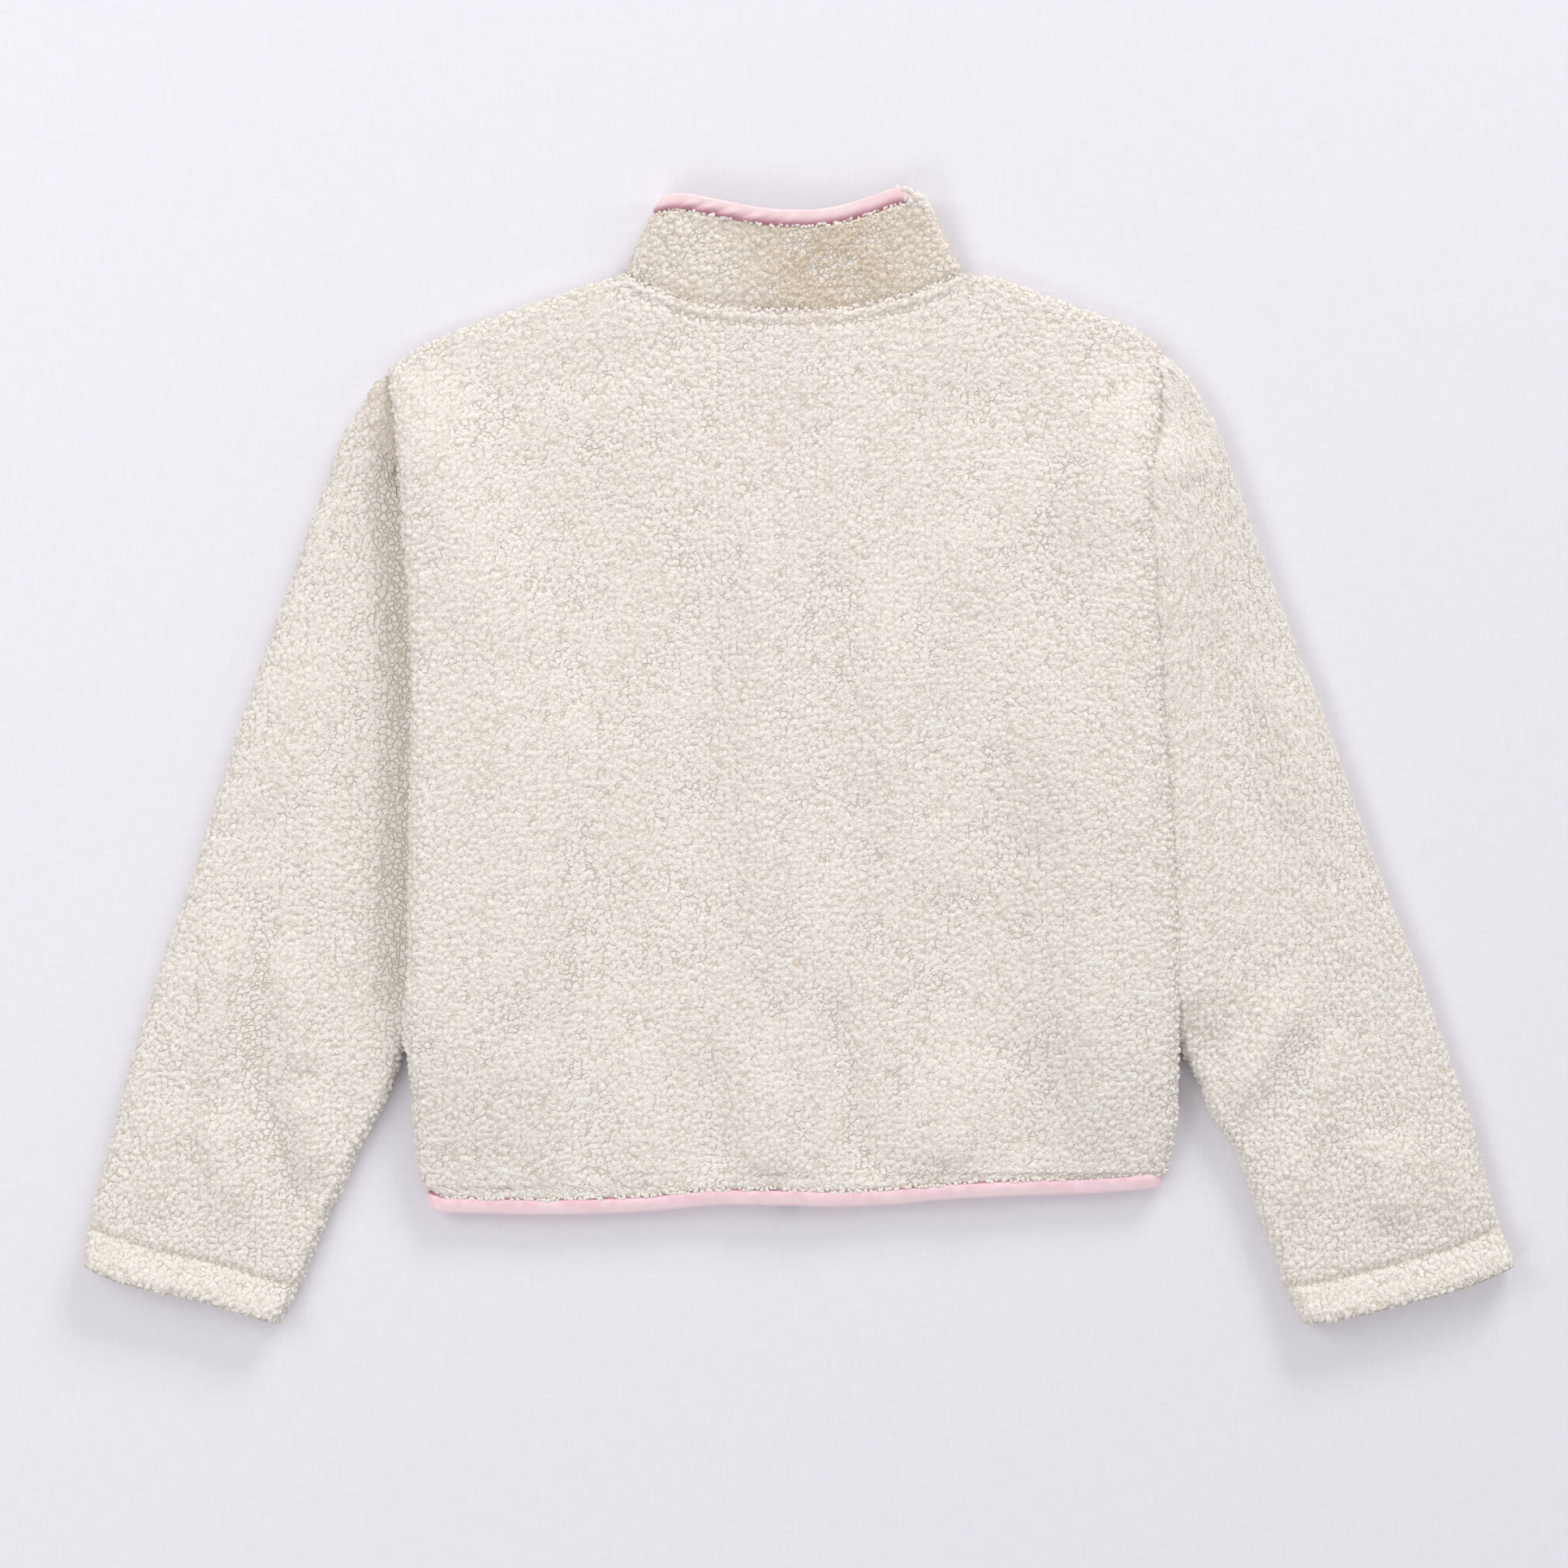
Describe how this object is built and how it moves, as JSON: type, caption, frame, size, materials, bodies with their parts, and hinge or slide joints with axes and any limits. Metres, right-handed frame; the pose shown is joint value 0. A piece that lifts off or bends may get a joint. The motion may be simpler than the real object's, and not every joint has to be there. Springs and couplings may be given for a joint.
{
  "type": "fleece jacket",
  "caption": "Cropped boxy curly-fleece jacket with a stand collar, front zip and satin-bound collar and hem, laid flat on its front with the back up.",
  "frame": {"origin": "on the surface the jacket lies on, under the middle of its overall length and width", "axes": "+X to the right across the back as laid, sleeve to sleeve; +Y up from the hem to the collar; +Z up off the surface"},
  "size_m": [0.883, 0.6986, 0.028],
  "materials": {
    "fleece": "cream curly polyester pile",
    "satin": "pink satin binding",
    "zip_tape": "pink woven tape",
    "zip_metal": "pale metal zip"
  },
  "bodies": {
    "jacket": {"back": "fleece", "front_left": "fleece", "front_right": "fleece", "sleeve_left": "fleece", "sleeve_right": "fleece", "collar": "fleece", "collar_binding": "satin", "hem_binding": "satin", "zip_tape_left": "zip_tape", "zip_tape_right": "zip_tape", "zip_chain": "zip_metal", "zip_retainer": "zip_metal", "zip_slider": "zip_metal"},
    "pull": {"zip_pull": "zip_metal"}
  },
  "joints": [
    {"name": "pull_swing", "type": "hinge", "parent": "jacket", "child": "pull", "pos_m": [-0.006, 0.274, 0.003], "axis": [1, 0, 0], "range_deg": [-4, 160]}
  ]
}
